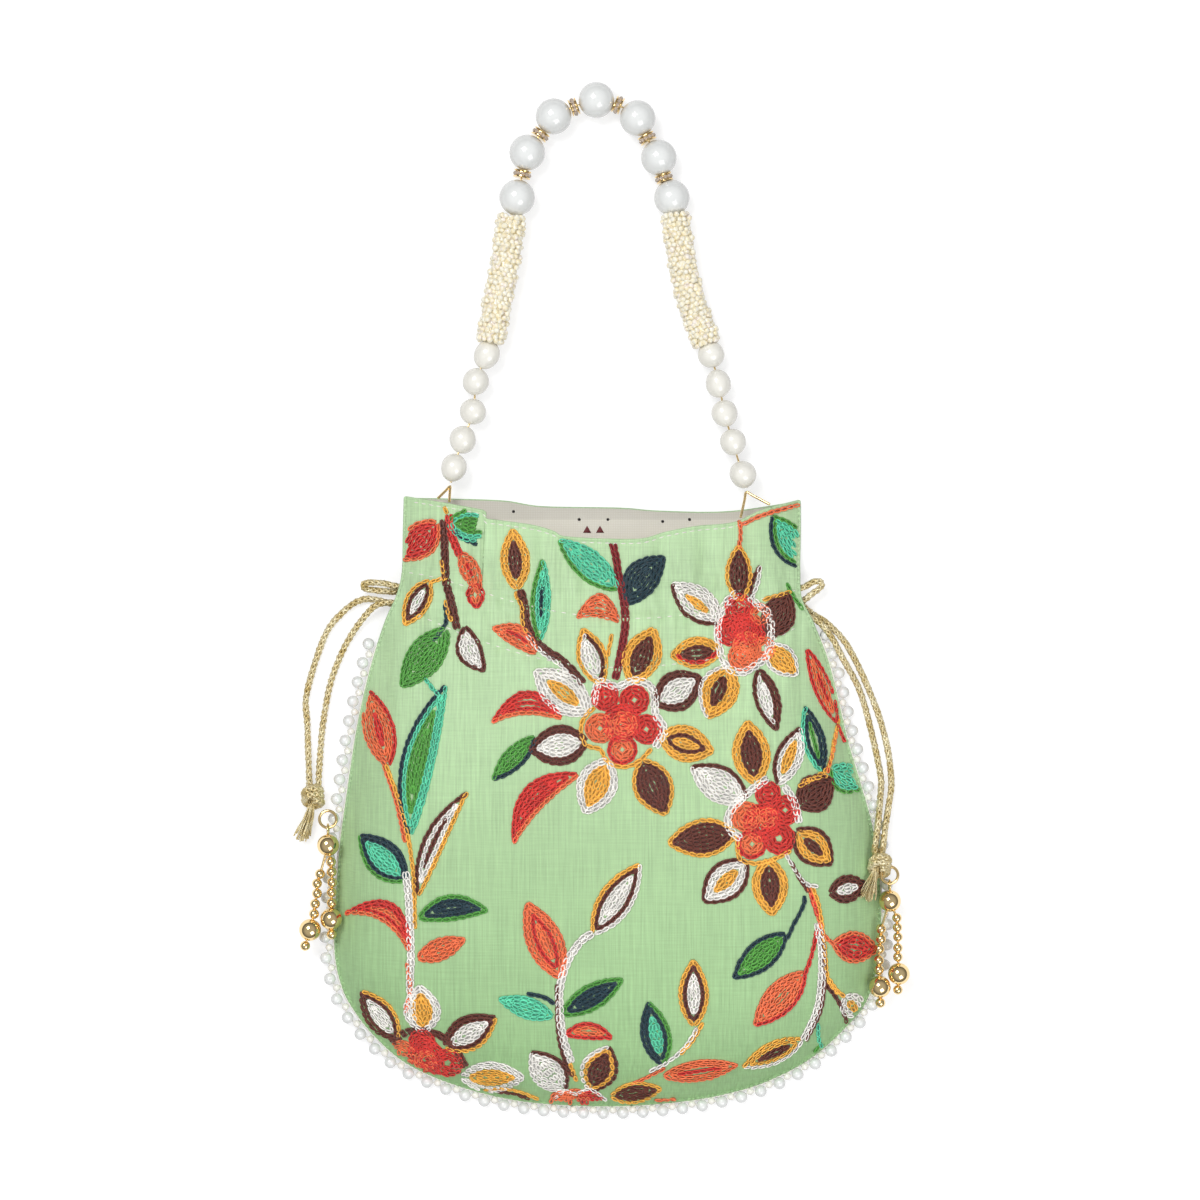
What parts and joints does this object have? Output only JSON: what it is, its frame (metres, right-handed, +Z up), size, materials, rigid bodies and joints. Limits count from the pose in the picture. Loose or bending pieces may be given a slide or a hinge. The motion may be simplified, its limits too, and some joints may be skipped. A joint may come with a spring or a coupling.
{
  "type": "potli bag",
  "caption": "Embroidered silk drawstring pouch with a pearl-strung handle, pearl edging, knotted cords and ball tassels, lying on its back.",
  "frame": {"origin": "on the surface under the middle of the bag with its handle laid out, drawcord ends left out", "axes": "+X across the bag to its right as seen from the front, +Y from its bottom to its handle, +Z up out of its front"},
  "size_m": [0.2462, 0.4158, 0.0279],
  "materials": {
    "mint_silk": "slub silk",
    "lining_cotton": "printed cotton",
    "edging_pearl": "pearl coat",
    "large_pearl": "pearl coat",
    "ivory_pearl": "pearl coat",
    "woven_beads": "iridescent",
    "rondelle_gold": "polished with clear stones",
    "polished_gold": "mirror gold",
    "cord_lurex": "metallic braid"
  },
  "bodies": {
    "bag": {"front_panel": "mint_silk", "back_panel": "mint_silk", "lining": "lining_cotton", "pearl_edging": "edging_pearl"},
    "handle": {"handle_pearl_1": "large_pearl", "handle_pearl_2": "large_pearl", "handle_pearl_3": "large_pearl", "handle_pearl_4": "large_pearl", "handle_pearl_5": "large_pearl", "handle_pearl_6": "large_pearl", "handle_pearl_7": "large_pearl", "rondelle_1": "rondelle_gold", "rondelle_2": "rondelle_gold", "rondelle_3": "rondelle_gold", "rondelle_4": "rondelle_gold", "rondelle_5": "rondelle_gold", "rondelle_6": "rondelle_gold", "small_pearl_left_1": "ivory_pearl", "small_pearl_left_2": "ivory_pearl", "small_pearl_left_3": "ivory_pearl", "small_pearl_left_4": "ivory_pearl", "small_pearl_left_5": "ivory_pearl", "woven_tube_left": "woven_beads", "gold_loop_left": "polished_gold", "small_pearl_right_1": "ivory_pearl", "small_pearl_right_2": "ivory_pearl", "small_pearl_right_3": "ivory_pearl", "small_pearl_right_4": "ivory_pearl", "small_pearl_right_5": "ivory_pearl", "woven_tube_right": "woven_beads", "gold_loop_right": "polished_gold", "handle_wire": "polished_gold"},
    "drawcord_left": {"drawcord_left": "cord_lurex", "knot_left": "cord_lurex", "jump_ring_left": "polished_gold"},
    "tassel_left": {"tassel_left_top_ball": "polished_gold"},
    "tassel_left_inner": {"tassel_left_inner_strand": "polished_gold", "tassel_left_inner_ball": "polished_gold"},
    "tassel_left_outer": {"tassel_left_outer_strand": "polished_gold", "tassel_left_outer_ball": "polished_gold"},
    "drawcord_right": {"drawcord_right": "cord_lurex", "knot_right": "cord_lurex", "jump_ring_right": "polished_gold"},
    "tassel_right": {"tassel_right_top_ball": "polished_gold"},
    "tassel_right_inner": {"tassel_right_inner_strand": "polished_gold", "tassel_right_inner_ball": "polished_gold"},
    "tassel_right_outer": {"tassel_right_outer_strand": "polished_gold", "tassel_right_outer_ball": "polished_gold"}
  },
  "joints": [
    {"name": "handle_swing", "type": "hinge", "parent": "bag", "child": "handle", "pos_m": [-0.0659, 0.0403, 0.0115], "axis": [0.9993, -0.0361, 0], "range_deg": [0, 150]},
    {"name": "drawcord_left_pull", "type": "slide", "parent": "bag", "child": "drawcord_left", "axis": [-1, 0, 0], "range_m": [0, 0.005]},
    {"name": "tassel_left_swing", "type": "hinge", "parent": "drawcord_left", "child": "tassel_left", "pos_m": [-0.1124, -0.0874, 0.0082], "axis": [0, 0, 1], "range_deg": [-30, 0]},
    {"name": "tassel_left_inner_lift", "type": "hinge", "parent": "tassel_left", "child": "tassel_left_inner", "pos_m": [-0.11137, -0.10233, 0.0098], "axis": [-1, 0, 0], "range_deg": [0, 40]},
    {"name": "tassel_left_outer_lift", "type": "hinge", "parent": "tassel_left", "child": "tassel_left_outer", "pos_m": [-0.11346, -0.10223, 0.0098], "axis": [-1, 0, 0], "range_deg": [0, 40]},
    {"name": "drawcord_right_pull", "type": "slide", "parent": "bag", "child": "drawcord_right", "axis": [1, 0, 0], "range_m": [0, 0.005]},
    {"name": "tassel_right_swing", "type": "hinge", "parent": "drawcord_right", "child": "tassel_right", "pos_m": [0.1124, -0.1096, 0.01], "axis": [0, 0, 1], "range_deg": [0, 30]},
    {"name": "tassel_right_inner_lift", "type": "hinge", "parent": "tassel_right", "child": "tassel_right_inner", "pos_m": [0.11116, -0.12447, 0.0098], "axis": [-1, 0, 0], "range_deg": [0, 40]},
    {"name": "tassel_right_outer_lift", "type": "hinge", "parent": "tassel_right", "child": "tassel_right_outer", "pos_m": [0.11439, -0.12435, 0.0098], "axis": [-1, 0, 0], "range_deg": [0, 40]}
  ]
}
